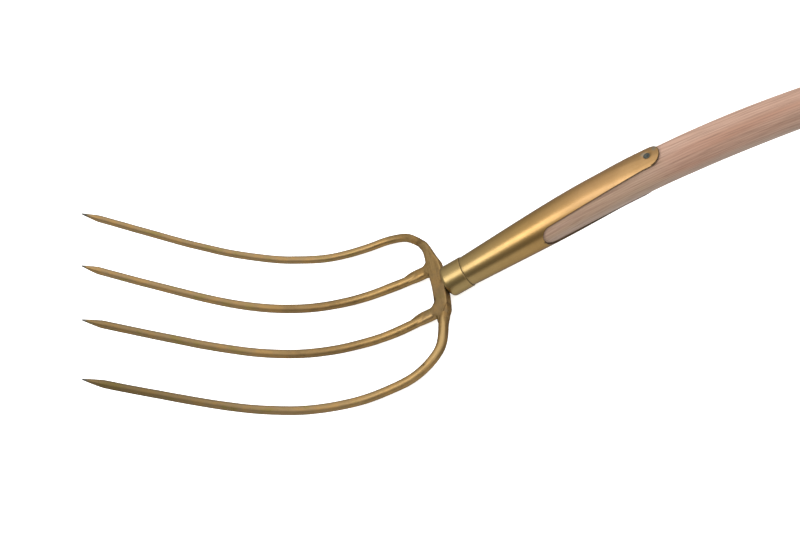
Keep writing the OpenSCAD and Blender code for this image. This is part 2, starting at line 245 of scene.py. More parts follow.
def blend(tree, first, second, share):
    # a weighted sum of two values
    kept = maths(tree, "MULTIPLY", first, 1 - share)
    return maths(tree, "ADD", kept, maths(tree, "MULTIPLY", second, share))

def noiseAt(tree, vector, scale, detail=3.0, rough=0.55):
    sockets = {"Vector": vector, "Scale": scale, "Detail": detail, "Roughness": rough}
    return addNode(tree, "ShaderNodeTexNoise", sockets).outputs["Fac"]

def streaks(tree, vector, stretch, detail=3.0, rough=0.55):
    # noise drawn out along a piece
    return noiseAt(tree, vectorMaths(tree, "MULTIPLY", vector, stretch), 1.0, detail, rough)

def bumpFrom(tree, height, strength, distance):
    sockets = {"Strength": strength, "Distance": distance, "Height": height}
    return addNode(tree, "ShaderNodeBump", sockets).outputs["Normal"]

def layerOf(tree, name, output="Fac"):
    return addNode(tree, "ShaderNodeAttribute", attribute_name=name).outputs[output]

def newGroup(name, inputs, outputs):
    group = bpy.data.node_groups.new(name, "ShaderNodeTree")
    group.interface.new_socket(name="Vector", in_out="INPUT", socket_type="NodeSocketVector")
    for socketName, value in inputs.items():
        made = group.interface.new_socket(name=socketName, in_out="INPUT", socket_type="NodeSocketFloat")
        made.default_value = value
    for socketName in outputs:
        group.interface.new_socket(name=socketName, in_out="OUTPUT", socket_type="NodeSocketFloat")
    return group, group.nodes.new("NodeGroupInput").outputs, group.nodes.new("NodeGroupOutput")

def useGroup(tree, group, **sockets):
    return addNode(tree, "ShaderNodeGroup", sockets, node_tree=group).outputs

def newMaterial(name):
    material = bpy.data.materials.new(name)
    material.use_nodes = True
    return material, material.node_tree, material.node_tree.nodes["Principled BSDF"]

# Soft blotches and fine speckle, shared by the metals
def makeMottle():
    outputs = ["Tone", "Height", "Fleck"]
    group, given, out = newGroup("hammered mottle", {"Blotch": 0.1, "Speckle": 0.8}, outputs)
    broad = noiseAt(group, given["Vector"], given["Blotch"], 4.0, 0.6)
    fine = noiseAt(group, given["Vector"], given["Speckle"], 2.0, 0.5)
    feed(group, out, {
        "Tone": remap(group, blend(group, broad, fine, 0.35), 0.34, 0.66),
        "Height": blend(group, fine, broad, 0.4),
        "Fleck": maths(group, "MULTIPLY", remap(group, fine, 0.6, 0.7), remap(group, broad, 0.45, 0.6)),
    })
    return group

# Rubbed high edges and dirt in the corners, shared by the metals
def makeEdgeWear():
    inputs = {"Rub": 0.5, "Dirt": 0.5, "Breakup": 0.5}
    group, given, out = newGroup("edge wear", inputs, ["Rubbed", "Dirty"])
    pointed = addNode(group, "ShaderNodeNewGeometry").outputs["Pointiness"]
    patchy = remap(group, noiseAt(group, given["Vector"], given["Breakup"]), 0.35, 0.65, 0.25, 1.0)
    edge = maths(group, "MULTIPLY", remap(group, pointed, 0.52, 0.62, smooth=True), given["Rub"])
    corner = maths(group, "MULTIPLY", remap(group, pointed, 0.485, 0.42, smooth=True), given["Dirt"])
    feed(group, out, {
        "Rubbed": maths(group, "MULTIPLY", edge, patchy),
        "Dirty": maths(group, "MULTIPLY", corner, patchy),
    })
    return group

mottle = makeMottle()
edgeWear = makeEdgeWear()

forgedLook = {
    "dark": (0.187, 0.117, 0.044, 1),
    "light": (0.402, 0.257, 0.103, 1),
    "warm": (0.370, 0.222, 0.080, 1),
    "olive": (0.250, 0.192, 0.052, 1),
    "aged": (0.300, 0.208, 0.111, 1),
    "rubbed": (0.55, 0.38, 0.17, 1),
    "edgeTint": (0.17, 0.16, 0.15, 1),  # the paint darkens at a slant
    "dirt": (0.060, 0.036, 0.017, 1),
    # darker olive toward the tips of the two left tines: tarnish, with painted shade on the nearer tines
    "tarnish": (0.084, 0.061, 0.023, 1),
    "bareSteel": (0.110, 0.106, 0.090, 1),
    "marks": {"Blotch": 0.10, "Speckle": 0.8},
    "wear": {"Rub": 0.45, "Dirt": 0.8, "Breakup": 0.25},
    "drawnStretch": (0.03, 0.8, 0.8),
    "drawnShare": 0.4,
    "castStretch": (0.07, 0.11, 0.11),  # broad patches of another hue
    "warmCast": (0.50, 0.64, 0, 0.65),
    "oliveCast": (0.47, 0.34, 0, 0.9),
    "fleckDirt": 0.45,
    "roughness": (0.31, 0.48),
    "bump": (0.35, 0.0003),
    "metallic": 0.80,
}

def makeForgedBronze():
    look = forgedLook
    material, tree, shader = newMaterial("forgedBronze")
    lay = layerOf(tree, "lay", "Vector")
    age = layerOf(tree, "age")
    marks = useGroup(tree, mottle, Vector=lay, **look["marks"])
    wear = useGroup(tree, edgeWear, Vector=lay, **look["wear"])
    drawn = remap(tree, streaks(tree, lay, look["drawnStretch"]), 0.3, 0.7)
    tone = blend(tree, marks["Tone"], drawn, look["drawnShare"])
    cast = streaks(tree, lay, look["castStretch"])
    # corner dirt, real stains and painted shade, all darkened with one colour
    dirt = maths(tree, "MAXIMUM", wear["Dirty"], layerOf(tree, "stain"))
    flecks = maths(tree, "MULTIPLY", marks["Fleck"], look["fleckDirt"])
    colour = layered(
        tree,
        mixColours(tree, tone, look["dark"], look["light"]),
        look,
        aged=age,
        warm=remap(tree, cast, *look["warmCast"], True),
        olive=maths(tree, "MULTIPLY", remap(tree, cast, *look["oliveCast"], True), age),
        tarnish=layerOf(tree, "tarnish"),
        # rubbed edges, and the painted highlights laid on by the mesh
        rubbed=maths(tree, "MAXIMUM", wear["Rubbed"], layerOf(tree, "rub")),
        dirt=maths(tree, "MAXIMUM", dirt, flecks),
        bareSteel=layerOf(tree, "bareTip"),
    )
    feed(tree, shader, {
        "Base Color": colour,
        "Roughness": remap(tree, marks["Tone"], 0, 1, *look["roughness"]),
        "Normal": bumpFrom(tree, marks["Height"], *look["bump"]),
        "Metallic": look["metallic"],
        "Specular Tint": look["edgeTint"],
    })
    return material

sheetLook = {
    "dark": (0.338, 0.197, 0.058, 1),
    "light": (0.450, 0.276, 0.092, 1),
    "gold": (0.88, 1.03, 1.22, 1),  # tint of the cap, which fades up the socket
    "goldSpan": (-14, 75, 1, 0),
    "copper": (1.02, 0.99, 1.18, 1),  # tint of the straps
    "copperSpan": (75, 140, 0, 1),
    "rubbed": (0.58, 0.40, 0.19, 1),
    "edgeTint": (0.15, 0.14, 0.13, 1),
    "dirt": (0.060, 0.035, 0.016, 1),
    "bareSteel": (0.26, 0.25, 0.20, 1),
    "marks": {"Blotch": 0.045, "Speckle": 1.3},
    "wear": {"Rub": 0.3, "Dirt": 0.5, "Breakup": 0.3},
    "drawnStretch": (0.015, 0.55, 0.55),
    "drawnShare": 0.5,
    "roughness": (0.36, 0.27),
    "strapRough": (85, 140, 0, 0.13),  # the straps are more scuffed than the cone
    "bump": (0.12, 0.0001),
    "metallic": (0.92, 0.1),  # clean, and under dirt and painted shade
    "lacquer": (0.38, 0.0),
    "lacquerRough": 0.2,
}

def makeSheetBronze():
    look = sheetLook
    material, tree, shader = newMaterial("sheetBronze")
    lay = layerOf(tree, "lay", "Vector")
    along = addNode(tree, "ShaderNodeSeparateXYZ", {0: lay}).outputs["X"]
    marks = useGroup(tree, mottle, Vector=lay, **look["marks"])
    wear = useGroup(tree, edgeWear, Vector=lay, **look["wear"])
    tone = blend(tree, marks["Tone"], streaks(tree, lay, look["drawnStretch"]), look["drawnShare"])
    # corner dirt, dark joints and painted shade along the strap edges and inside the socket
    dirt = maths(tree, "MAXIMUM", wear["Dirty"], layerOf(tree, "seam"))
    colour = mixColours(tree, tone, look["dark"], look["light"])
    for tint in ("gold", "copper"):
        colour = mixColours(tree, remap(tree, along, *look[tint + "Span"]), colour, look[tint], "MULTIPLY")
    colour = layered(tree, colour, look, rubbed=wear["Rubbed"], bareSteel=layerOf(tree, "scuff"), dirt=dirt)
    scuffed = remap(tree, along, *look["strapRough"], True)
    feed(tree, shader, {
        "Base Color": colour,
        "Roughness": maths(tree, "ADD", remap(tree, tone, 0.2, 0.8, *look["roughness"]), scuffed),
        "Normal": bumpFrom(tree, marks["Height"], *look["bump"]),
        "Metallic": remap(tree, dirt, 0, 1, *look["metallic"]),
        "Coat Weight": remap(tree, dirt, 0, 1, *look["lacquer"]),
        "Coat Roughness": look["lacquerRough"],
        "Specular Tint": look["edgeTint"],
    })
    return material

woodLook = {
    "pale": (0.475, 0.300, 0.222, 1),
    "rose": (0.410, 0.224, 0.152, 1),
    "tan": (0.405, 0.274, 0.184, 1),
    "grey": (0.460, 0.350, 0.275, 1),
    "line": (0.255, 0.146, 0.098, 1),
    "pore": (0.220, 0.128, 0.088, 1),
    "pith": (0.0, 62.0, 66.0),  # the tree's centre beside the handle
    "ringGap": 2.1,
    "ringDrift": 9.0,
    "driftStretch": (0.006, 0.05, 0.05),
    "lineDepth": 0.38,
    "poreStretch": (0.022, 0.85, 0.85),
    "poreSpan": (0.49, 0.68, 0, 0.68),
    "patchStretch": (0.004, 0.06, 0.06),
    "heartSpan": (185, 245),  # rosy from here up the handle
    "sapSpan": (-11, -4),  # painted light on the upper side
    "greySpan": (5, -9),  # and painted bounce light from the floor, greyer underneath
    "roughness": (0.47, 0.65),
    "gloss": 0.3,
    "bump": (0.35, 0.0002),
}

def makeAshWood():
    look = woodLook
    material, tree, shader = newMaterial("ashWood")
    lay = layerOf(tree, "lay", "Vector")
    axes = addNode(tree, "ShaderNodeSeparateXYZ", {0: lay}).outputs
    # year rings round the pith, which drift along the handle
    across = vectorMaths(tree, "MULTIPLY", vectorMaths(tree, "ADD", lay, look["pith"]), (0, 1, 1))
    drift = maths(tree, "MULTIPLY", streaks(tree, lay, look["driftStretch"], 2.0), look["ringDrift"])
    bent = maths(tree, "ADD", vectorMaths(tree, "LENGTH", across, output="Value"), drift)
    phase = maths(tree, "FRACT", maths(tree, "DIVIDE", bent, look["ringGap"]), 0.0)
    lateStart, lateEnd = remap(tree, phase, 0.35, 0.9, smooth=True), remap(tree, phase, 0.92, 1, 1, 0)
    late = maths(tree, "MULTIPLY", lateStart, lateEnd)
    pores = streaks(tree, lay, look["poreStretch"], rough=0.7)
    poreMask = remap(tree, pores, *look["poreSpan"])
    uneven = remap(tree, streaks(tree, lay, look["patchStretch"]), 0.3, 0.7, -0.3, 0.3)
    # heartwood rose up the handle, painted light on the upper side and painted floor bounce underneath
    heart, sap, grey = [
        maths(tree, "ADD", remap(tree, axes[axis], *look[span], smooth=True), uneven)
        for axis, span in (("X", "heartSpan"), ("Y", "sapSpan"), ("Z", "greySpan"))
    ]
    colour = layered(
        tree,
        mixColours(tree, heart, look["tan"], look["rose"]),
        look,
        pale=sap,
        grey=grey,
        line=maths(tree, "MULTIPLY", late, look["lineDepth"]),
        pore=poreMask,
    )
    height = maths(tree, "SUBTRACT", maths(tree, "MULTIPLY", late, 0.3), poreMask)
    feed(tree, shader, {
        "Base Color": colour,
        "Roughness": remap(tree, pores, 0.3, 0.7, *look["roughness"]),
        "Normal": bumpFrom(tree, height, *look["bump"]),
        "Specular IOR Level": look["gloss"],
    })
    return material

nailLook = {
    "dark": (0.030, 0.033, 0.027, 1),
    "light": (0.110, 0.118, 0.100, 1),
    "rubbed": (0.34, 0.36, 0.32, 1),
    "marks": {"Blotch": 0.5, "Speckle": 3.0},
    "wear": {"Rub": 0.7, "Dirt": 0.4, "Breakup": 0.8},
    "roughness": (0.38, 0.6),
    "bump": (0.3, 0.0001),
    "metallic": 0.85,
}

def makeNailSteel():
    look = nailLook
    material, tree, shader = newMaterial("nailSteel")
    lay = layerOf(tree, "lay", "Vector")
    marks = useGroup(tree, mottle, Vector=lay, **look["marks"])
    wear = useGroup(tree, edgeWear, Vector=lay, **look["wear"])
    colour = mixColours(tree, marks["Tone"], look["dark"], look["light"])
    feed(tree, shader, {
        "Base Color": layered(tree, colour, look, rubbed=wear["Rubbed"]),
        "Roughness": remap(tree, marks["Tone"], 0, 1, *look["roughness"]),
        "Normal": bumpFrom(tree, marks["Height"], *look["bump"]),
        "Metallic": look["metallic"],
    })
    return material

forgedBronze = makeForgedBronze()
sheetBronze = makeSheetBronze()
ashWood = makeAshWood()
nailSteel = makeNailSteel()
print("materials made")

# Camera at the photograph's angle, for a frame of 800 x 533, set in the fork's own frame
camera = {
    "place": (420.96, -1049.78, 978.28),
    "back": (0.31607, -0.71035, 0.62889),  # from the fork towards the eye
    "up": (0.47595, 0.69214, 0.5426),
    "lens": 69.23,
    "sensor": 36.0,
    "nearest": 0.01,
}

def facing(place, side, up, back):
    # a placement whose own axes are side, up and back
    turn = Matrix([list(side), list(up), list(back)]).transposed().to_4x4()
    return Matrix.Translation(place) @ turn

def addCamera():
    eye = bpy.data.objects.new("photoCamera", bpy.data.cameras.new("photoCamera"))
    scene.collection.objects.link(eye)
    eye.data.lens = camera["lens"]
    eye.data.sensor_width = camera["sensor"]
    eye.data.clip_start = camera["nearest"]
    up, back = leanTurn @ camera["up"], leanTurn @ camera["back"]
    eye.matrix_world = facing(atRest(camera["place"]), np.cross(up, back), up, back)
    scene.camera = eye

# The room's edges are heights and sides of the direction that a ray looks in
studio = {
    "floorSize": 60.0,
    "floorColour": (0.88, 0.88, 0.875, 1),
    "floorGlow": 0.8,
    "floorRough": 0.95,
    "keyTarget": (60.0, 0.0, 0.0),  # on the socket, in the fork's own frame
    "keyToward": (-0.43, -0.40, 0.81),
    "keyDistance": 1.6,
    "keySize": (1.35, 0.85),
    "keyPower": 11.5,
    "sky": 0.55,
    "ceiling": 1.5,  # the bright ceiling, which lies more over the handle
    "ceilingToward": (0.5, 0.1, 0.86),
    "ceilingEdge": (0.30, 0.72),
    "dim": 0.16,  # the dim side of the room, low behind the camera
    "dimEdges": {"Z": (0.30, 0.62), "Y": (-0.75, -0.10), "X": (-0.15, 0.25)},
    "ground": 0.88,  # what the metal sees below it
    "groundEdge": (-0.02, -0.30),
    "backdrop": (0.95, 0.95, 0.945, 1),
}

def addFloor():
    size = studio["floorSize"] / 2
    corners = [(-size, -size, 0), (size, -size, 0), (size, size, 0), (-size, size, 0)]
    mesh = bpy.data.meshes.new("floor")
    mesh.from_pydata(corners, [], [(0, 1, 2, 3)])
    floor = bpy.data.objects.new("floor", mesh)
    scene.collection.objects.link(floor)
    floor.visible_glossy = False
    floor.visible_diffuse = False
    material, tree, shader = newMaterial("paleFloor")
    feed(tree, shader, {
        "Base Color": studio["floorColour"],
        "Roughness": studio["floorRough"],
        "Specular IOR Level": 0.0,
        "Emission Color": studio["floorColour"],
        "Emission Strength": studio["floorGlow"],
    })
    mesh.materials.append(material)

def addKeyLight():
    data = bpy.data.lights.new("softbox", "AREA")
    data.shape = "RECTANGLE"
    data.size, data.size_y = studio["keySize"]
    data.energy = studio["keyPower"]
    lamp = bpy.data.objects.new("softbox", data)
    scene.collection.objects.link(lamp)
    toward = Vector(studio["keyToward"]).normalized()
    up = toward.cross(Vector((1, 0, 0))).normalized()  # its long side runs along the handle
    place = Vector(atRest(studio["keyTarget"])) + toward * studio["keyDistance"]
    lamp.matrix_world = facing(place, up.cross(toward), up, toward)

def addRoom():
    world = bpy.data.worlds.new("room")
    scene.world = world
    world.use_nodes = True
    tree = world.node_tree
    toward = addNode(tree, "ShaderNodeTexCoord").outputs["Generated"]
    axes = addNode(tree, "ShaderNodeSeparateXYZ", {0: toward}).outputs
    overhead = vectorMaths(tree, "DOT_PRODUCT", toward, studio["ceilingToward"], "Value")
    dim = 1.0
    for axis, edge in studio["dimEdges"].items():
        dim = maths(tree, "MULTIPLY", dim, remap(tree, axes[axis], *edge, 1.0, 0.0, True))
    masks = {
        "ceiling": remap(tree, overhead, *studio["ceilingEdge"], smooth=True),
        "dim": dim,
        "ground": remap(tree, axes["Z"], *studio["groundEdge"], smooth=True),
    }
    greys = {name: (studio[name],) * 3 + (1,) for name in ("sky", "ceiling", "dim", "ground")}
    room = layered(tree, greys["sky"], greys, **masks)
    seen = addNode(tree, "ShaderNodeLightPath").outputs["Is Camera Ray"]
    feed(tree, tree.nodes["Background"], {"Color": mixColours(tree, seen, room, studio["backdrop"])})

addCamera()
addFloor()
addKeyLight()
addRoom()
scene.view_settings.view_transform = "Standard"
print("camera, floor and light set")

# Socket: a sheet cone with two side windows that leave a front and a back strap
socket = {
    "rimDiameter": 30.3,
    "sheet": 1.6,
    "woodFit": 0.1,
    "neckLength": 10.0,
    "neckRadius": 14.55,
    "rimGroove": 0.35,  # width of the seam against the cap
    "rimDirt": 0.8,
    "rimSpan": (0.2, 0.7),
    "windowStart": 85.0,
    "windowHeight": 23.0,
    "strapWidth": 24.0,
    "springFrom": 150.0,
    "thinFrom": (110.0, 165.0),  # where hammered edges begin along the strap
    "thinSpan": (0.5, 5.0),  # and how far in they reach
    "dimpleDepth": 0.75,
    "dimpleFloor": 2.6,
    "dimpleRadius": 5.2,
    "nailDirt": 0.4,
    "nailSpan": (0.1, 0.7),
    "shadeFrom": (135.0, 170.0),
    "shadeLine": 2.6,  # where the slanting line passes the nail
    "shadeRun": 6.0,  # length in which it moves aside by 1
    "shadeSpan": (-0.9, 0.9),
    "edgeRound": 0.4,
    "rowStep": 0.8,
    "columns": 64,
    "bunching": 0.12,  # columns lie closer near the edges
}
frontStrap = {
    "half": 1,
    "nail": 206.0,
    "even": 8.0,  # even width before the nail
    "spring": 0.7,  # how far the edges stand off the wood
    "thin": 0.0,  # how much the edges are hammered down
    "dirt": 0.9,  # width of the dark line along the cut edges: dirt, and painted shade of the gap under the lifted edge
    "shade": 0.21,  # painted shade above a slanting line, where the highlight ends
    "scuffs": [  # place from the nail, stretch, span and depth
        ((8.5, -5.0), 1.4, (0.5, 3.8), 0.75),
        ((-2.5, -3.5), 1.0, (1.5, 4.0), 0.6),
    ],
}
backStrap = {
    "half": -1,
    "nail": 186.0,
    "even": 21.0,
    "spring": 0.0,
    "thin": 0.9,
    # a wide band of painted shade along the back strap's edge
    "dirt": 4.0,
    "shade": 0.0,
    "scuffs": [],
}

rimR = socket["rimDiameter"] / 2
bendR = handle["diameter"] / 2 + handle["bendSwell"]
socketR = bendR + socket["woodFit"] + socket["sheet"]
taperSlope = (socketR - rimR) / taperLength
strapHalf = socket["strapWidth"] / 2

def coneRadius(d):
    d = np.asarray(d, float)
    ease = handle["taperEase"]
    into = np.clip(d - taperLength + ease, 0, 2 * ease)
    return rimR + taperSlope * (np.minimum(d, taperLength + ease) - into ** 2 / (4 * ease))

def boreRadius(d):
    return coneRadius(d) - socket["sheet"]

def woodRadius(d):
    return boreRadius(d) - socket["woodFit"]

def socketOuter(d):
    # the rim curls in to the neck, which leaves a seam against the cap
    groove = socket["rimGroove"]
    curl = np.sqrt(np.clip(1 - (1 - np.clip((d - groove / 2) / groove, 0, 1)) ** 2, 0, 1))
    return socket["neckRadius"] + (coneRadius(d) - socket["neckRadius"]) * curl

def strapRows(strap):
    # pairs of the distance along the handle and the turn from the side to the window's edge
    nailAt, flareEnd = strap["nail"], strap["nail"] - strap["even"]
    windowR = socket["windowHeight"] / 2
    windowRound = socket["windowStart"] + windowR
    groove = socket["rimGroove"]
    level = math.sqrt(socketR ** 2 - strapHalf ** 2)
    whole = [-socket["neckLength"], -groove]
    whole += list(np.linspace(groove / 2, groove * 1.5, 7))
    whole += list(np.linspace(groove * 1.5, socket["windowStart"], 40)[1:])
    rows = [(d, 0.0) for d in whole]
    for a in quarterTurn(19)[1:]:
        d = windowRound - windowR * math.cos(a)
        rows.append((d, math.asin(windowR * math.sin(a) / coneRadius(d))))
    for d in np.linspace(windowRound, flareEnd, 36)[1:]:
        high = windowR + (level - windowR) * (d - windowRound) / (flareEnd - windowRound)
        rows.append((d, math.asin(high / coneRadius(d))))
    for d in np.linspace(flareEnd, nailAt, int(strap["even"] / socket["rowStep"]))[1:]:
        rows.append((d, math.asin(level / socketR)))
    for a in quarterTurn(25)[1:]:
        rows.append((nailAt + strapHalf * math.sin(a), math.acos(strapHalf * math.cos(a) / socketR)))
    return rows

def strapSkin(strap):
    # the outer and inner points, dirt, dark joints and painted shade along the edges, and the scuffs, then
    # the number of rows
    rows, cols, nailAt = strapRows(strap), socket["columns"] + 1, strap["nail"]
    d, edge = spread(cols, *zip(*rows))
    even = np.linspace(0, 1, cols)
    share = np.tile(even - socket["bunching"] * np.sin(2 * math.pi * even), len(rows))
    turn = edge + (math.pi - 2 * edge) * share
    aside = coneRadius(d) * (turn - math.pi / 2)
    reach = np.hypot(d - nailAt, aside)
    inward = np.minimum(turn - edge, math.pi - edge - turn) * coneRadius(d)
    inward = np.where(d > nailAt, strapHalf - reach, inward)
    bowed = (np.hypot(np.maximum(0, d - nailAt), aside) / strapHalf) ** 2
    spring = strap["spring"] * np.minimum(smoothStep(d, socket["springFrom"], nailAt) * bowed, 1)
    dent = socket["dimpleDepth"] * (1 - smoothStep(reach, socket["dimpleFloor"], socket["dimpleRadius"]))
    lift = spring - np.where(d > socket["springFrom"], dent, 0)
    thin = strap["thin"] * smoothStep(d, *socket["thinFrom"])
    lift = lift - thin * (1 - smoothStep(inward, *socket["thinSpan"]))
    outer, inner = [
        aroundAxis(d, radius * np.cos(turn), strap["half"] * radius * np.sin(turn))
        for radius in (socketOuter(d) + lift, boreRadius(d) + spring)
    ]
    # dark cut edges: dirt on the sheared edge and painted shade of the gap beneath
    cut = np.where(d > socket["windowStart"] - 0.01, 1 - smoothStep(inward, 0.1, strap["dirt"]), 0)
    rim = socket["rimDirt"] * (1 - smoothStep(d, *socket["rimSpan"]))
    fromHead = np.abs(reach - nails["head"] / 2 - 0.2)
    ring = socket["nailDirt"] * (1 - smoothStep(fromHead, *socket["nailSpan"]))
    # painted shade on the front strap above a slanting line
    line = socket["shadeLine"] + (d - nailAt) / socket["shadeRun"]
    shade = smoothStep(d, *socket["shadeFrom"]) * (1 - smoothStep(aside - line, *socket["shadeSpan"]))
    seam = np.maximum.reduce([cut, rim, ring, strap["shade"] * shade])
    scuff = np.zeros(len(d))
    for (along, across), stretch, span, depth in strap["scuffs"]:
        spot = np.hypot(d - nailAt - along, (aside - across) / stretch)
        scuff = scuff + depth * (1 - smoothStep(spot, *span))
    return (outer, inner, seam, scuff), len(rows)

def thickened(name, outer, inner, seam, scuff, faces):
    # one skin over the other, closed along every free edge
    welded, index = np.unique(np.round(outer, 4), axis=0, return_inverse=True)
    index = index.ravel()
    count = len(welded)
    top, bottom = np.zeros_like(welded), np.zeros_like(welded)
    dirt, bare = np.zeros(count), np.zeros(count)
    top[index], bottom[index], dirt[index], bare[index] = outer, inner, seam, scuff
    used, skin = {}, []
    for face in faces:
        ring = [int(index[k]) for k in face]
        ring = [v for k, v in enumerate(ring) if v != ring[k - 1]]
        if len(set(ring)) < 3:
            continue
        skin.append(tuple(ring))
        for k, v in enumerate(ring):
            used.setdefault(frozenset((ring[k - 1], v)), []).append((ring[k - 1], v))
    free = [pairs[0] for pairs in used.values() if len(pairs) == 1]
    sides = [(b, a, a + count, b + count) for a, b in free]
    under = [tuple(v + count for v in reversed(ring)) for ring in skin]
    mesh = withLay(newMesh(name, np.concatenate([top, bottom]), skin + under + sides))
    # the inner skin and the cut faces take the full dark colour: painted shade inside the socket
    dirt, bare = np.concatenate([dirt, np.ones(count)]), np.concatenate([bare, np.zeros(count)])
    setLayers(mesh, seam=dirt, scuff=bare)
    return mesh

def addSocket():
    halves, faces = [], []
    for strap in (frontStrap, backStrap):
        half, rows = strapSkin(strap)
        faces += gridFaces(rows, socket["columns"] + 1, False, sum(len(h[0]) for h in halves))
        halves.append(half)
    layers = [np.concatenate(layer) for layer in zip(*halves)]
    mesh = thickened("bronzeSocket", *layers, faces)
    piece = addPiece("bronzeSocket", mesh, sheetBronze, "socket", 35)
    bevel = piece.modifiers.new("edge", "BEVEL")
    bevel.width = socket["edgeRound"] / 1000
    bevel.segments = 3
    bevel.limit_method = "ANGLE"
    bevel.angle_limit = math.radians(55)

# Nails with dished heads, one through each strap
nails = {
    "shank": 3.5,
    "head": 6.6,
    "headHeight": 1.3,
    "length": 22.0,
    "sink": 0.3,
    "rimRound": 0.35,
    "dish": 0.45,
    "point": 3.5,
    "sides": 40,
}

def addNail(name, node, strap):
    top, dish = socketR - nails["sink"], nails["dish"]
    headR, shankR, edge = nails["head"] / 2, nails["shank"] / 2, nails["rimRound"]
    # pairs of the radius and the height: the dish, the rounded rim, then the shank and its point
    profile = [(0.05, top - dish), (headR * 0.3, top - dish * 0.9), (headR * 0.55, top - dish * 0.35)]
    profile += [(headR * 0.72, top - 0.04), (headR - edge, top)]
    for a in quarterTurn(4)[1:]:
        profile.append((headR - edge * (1 - math.sin(a)), top - edge * (1 - math.cos(a))))
    profile += [(shankR + 0.5, top - nails["headHeight"] * 0.8), (shankR, top - nails["headHeight"])]
    profile += [(shankR, top - nails["length"] + nails["point"]), (shankR * 0.2, top - nails["length"])]
    sides = nails["sides"]
    radius, high = spread(sides, *zip(*profile))
    turn = fullTurns(sides, len(profile))
    tilt = (strap["nail"] - taperLength) / bendRadius
    along = np.array([math.cos(tilt), 0, -math.sin(tilt)])
    outward = np.array([math.sin(tilt), 0, math.cos(tilt)])
    points = aroundAxis(strap["nail"], 0, 0) + np.outer(radius * np.cos(turn), along)
    points = points + np.outer(strap["half"] * high, outward)
    points[:, 1] += radius * np.sin(turn)
    mesh = withLay(newMesh(name, points, tubeFaces(len(profile), sides)))
    addPiece(name, mesh, nailSteel, node, 50)

addSocket()
addNail("frontNail", "front_strap_nail", frontStrap)
addNail("backNail", "back_strap_nail", backStrap)

# Cap: a drawn cup that closes the socket, with the crown's shoulder seated on its end
cap = {
    "step": 0.7,
    "length": 23.5,
    "wall": 1.2,
    "floor": 2.5,
    "round": 4.0,
    "lip": 0.35,
    "hole": 6.15,
    "dirt": 0.7,
    "lipDirt": 0.3,
    "footDirt": 1.2,
    "sides": 112,
}

def addCap():
    capR = rimR + cap["step"]
    boreR = capR - cap["wall"]
    lip, low, inside = cap["lip"], -cap["length"], cap["floor"] - cap["length"]
    profile = [(0.0, boreR), (0.0, (boreR + capR) / 2)]
    profile += [(-lip * math.sin(a), capR - lip * (1 - math.sin(a))) for a in quarterTurn(7)]
    profile += [(d, capR) for d in np.linspace(-lip * 3, low + cap["round"], 12)]
    for a in quarterTurn(14)[1:]:
        profile.append((low + cap["round"] * (1 - math.sin(a)), capR - cap["round"] * (1 - math.cos(a))))
    profile += [(low, r) for r in np.linspace(capR - cap["round"], cap["hole"], 4)[1:]]
    profile += [(inside, cap["hole"]), (inside, boreR - 1), (inside + 1, boreR)]
    rows, sides = len(profile), cap["sides"]
    last = (rows - 1) * sides
    faces = gridFaces(rows, sides)
    faces += [(last + a, last + b, b, a) for a, b, _, _ in gridFaces(2, sides)]
    mesh = withLay(newMesh("ferruleCap", turned(profile, sides), faces))
    along = meshPoints(mesh)[:, 0]
    # a dark joint at the lip, and a dark joint with painted shade at the foot against the crown
    foot = 1 - smoothStep(along, low, low + cap["footDirt"])
    seam = cap["dirt"] * np.maximum(smoothStep(along, -cap["lipDirt"], 0), foot)
    setLayers(mesh, seam=seam, scuff=0 * along)
    addPiece("ferruleCap", mesh, sheetBronze, "ferrule_cap", 35)

def addHandle():
    fullR, roundR, sides = handle["diameter"] / 2, handle["buttRound"], handle["sides"]
    stations = list(np.arange(-handle["nose"], bendEnd, handle["ringStep"] / 2))
    stations += list(np.arange(bendEnd, buttAt - roundR, handle["ringStep"]))
    bareStart = [frontStrap["nail"] + strapHalf + d for d in handle["bareStart"]]
    bare = smoothStep(stations, *bareStart) - smoothStep(stations, *handle["bareEnd"])
    radii = woodRadius(stations) + handle["bareSwell"] * bare
    radii = radii - handle["bendSwell"] * smoothStep(stations, bendEnd - handle["swellFade"], bendEnd)
    profile = list(zip(stations, radii))
    for a in quarterTurn(14):
        profile.append((buttAt - roundR + roundR * math.sin(a), fullR - roundR + roundR * math.cos(a)))
    profile += [(buttAt, (fullR - roundR) * share) for share in handle["buttRings"]]
    lay = alongAxis(turned(profile, sides))
    shaved = waver(lay * handle["shavingStretch"], handle["shavingSize"], handle["shavingSeed"])
    worn = handle["shaving"] * (0.5 + 0.5 * shaved)
    keep = 1 - worn / np.maximum(np.hypot(lay[:, 1], lay[:, 2]), 1)
    points = aroundAxis(lay[:, 0], lay[:, 1] * keep, lay[:, 2] * keep)
    mesh = withLay(newMesh("ashHandle", points, tubeFaces(len(profile), sides)))
    addPiece("ashHandle", mesh, ashWood, "handle", 50)

addCap()
addHandle()

